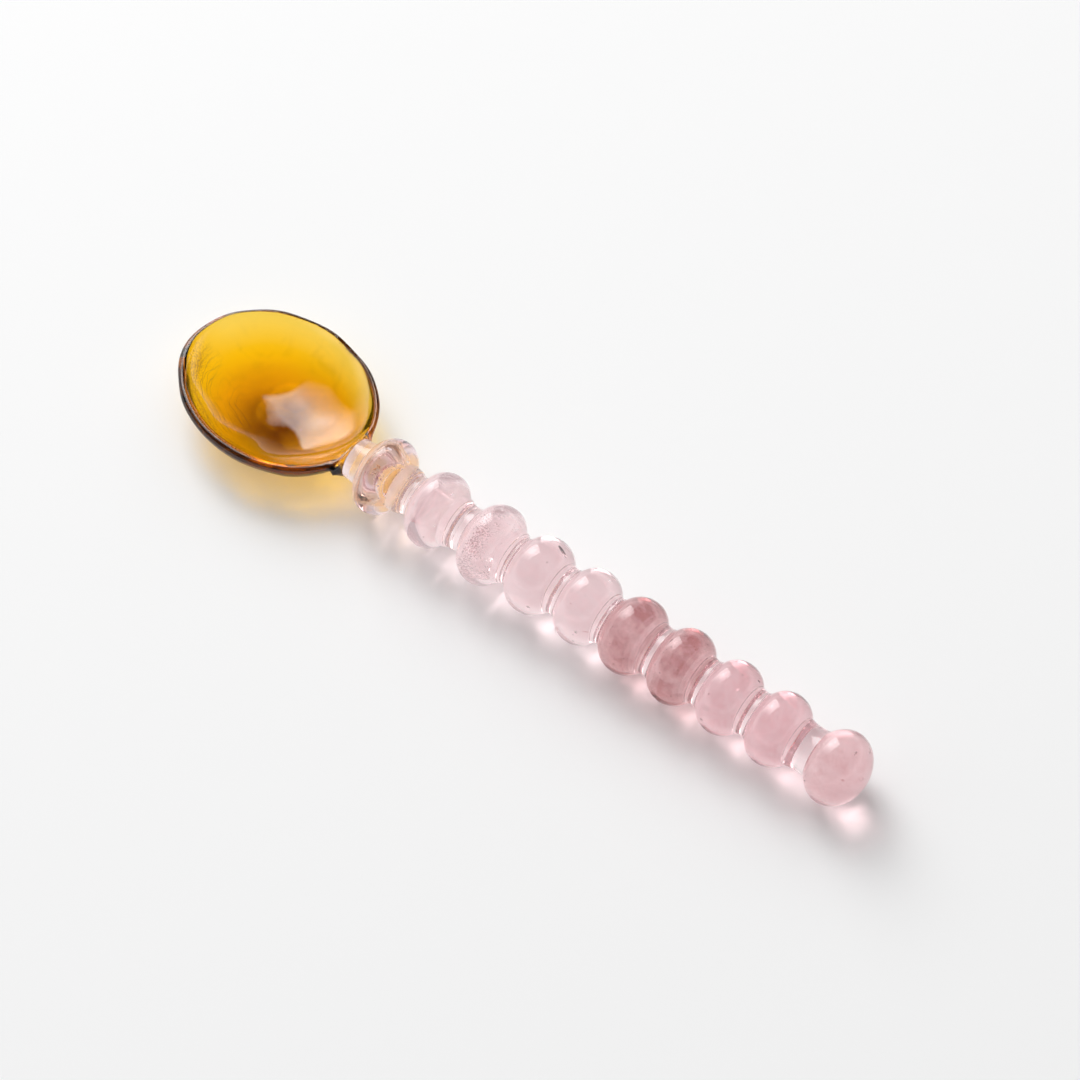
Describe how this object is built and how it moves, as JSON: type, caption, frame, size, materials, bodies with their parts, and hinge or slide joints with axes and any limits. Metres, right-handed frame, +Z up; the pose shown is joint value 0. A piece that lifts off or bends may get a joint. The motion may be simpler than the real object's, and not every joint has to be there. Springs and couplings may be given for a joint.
{
  "type": "glass spoon",
  "caption": "Glass spoon with an oval amber bowl on a flat rest and a rose handle of round beads wound on a rod, ending in a knob.",
  "frame": {"origin": "middle of the ground flat under the bowl, on the surface that the spoon lies on", "axes": "+X parallel to the handle from the bowl to the end knob, +Z up out of the bowl, +Y across"},
  "size_m": [0.1549, 0.0332, 0.0158],
  "materials": {
    "amber_glass": "fire-polished, clear amber",
    "clear_rose_glass": "fire-polished, pale rose",
    "rose_glass": "fire-polished, rose, with small bubbles",
    "deep_rose_glass": "fire-polished, deep rose, with small bubbles"
  },
  "bodies": {
    "root": {"bowl": "amber_glass", "core_rod": "rose_glass", "bead_1": "clear_rose_glass", "bead_2": "clear_rose_glass", "bead_3": "clear_rose_glass", "bead_4": "clear_rose_glass", "bead_5": "clear_rose_glass", "bead_6": "deep_rose_glass", "bead_7": "deep_rose_glass", "bead_8": "rose_glass", "bead_9": "rose_glass", "end_knob": "rose_glass"}
  },
  "joints": []
}
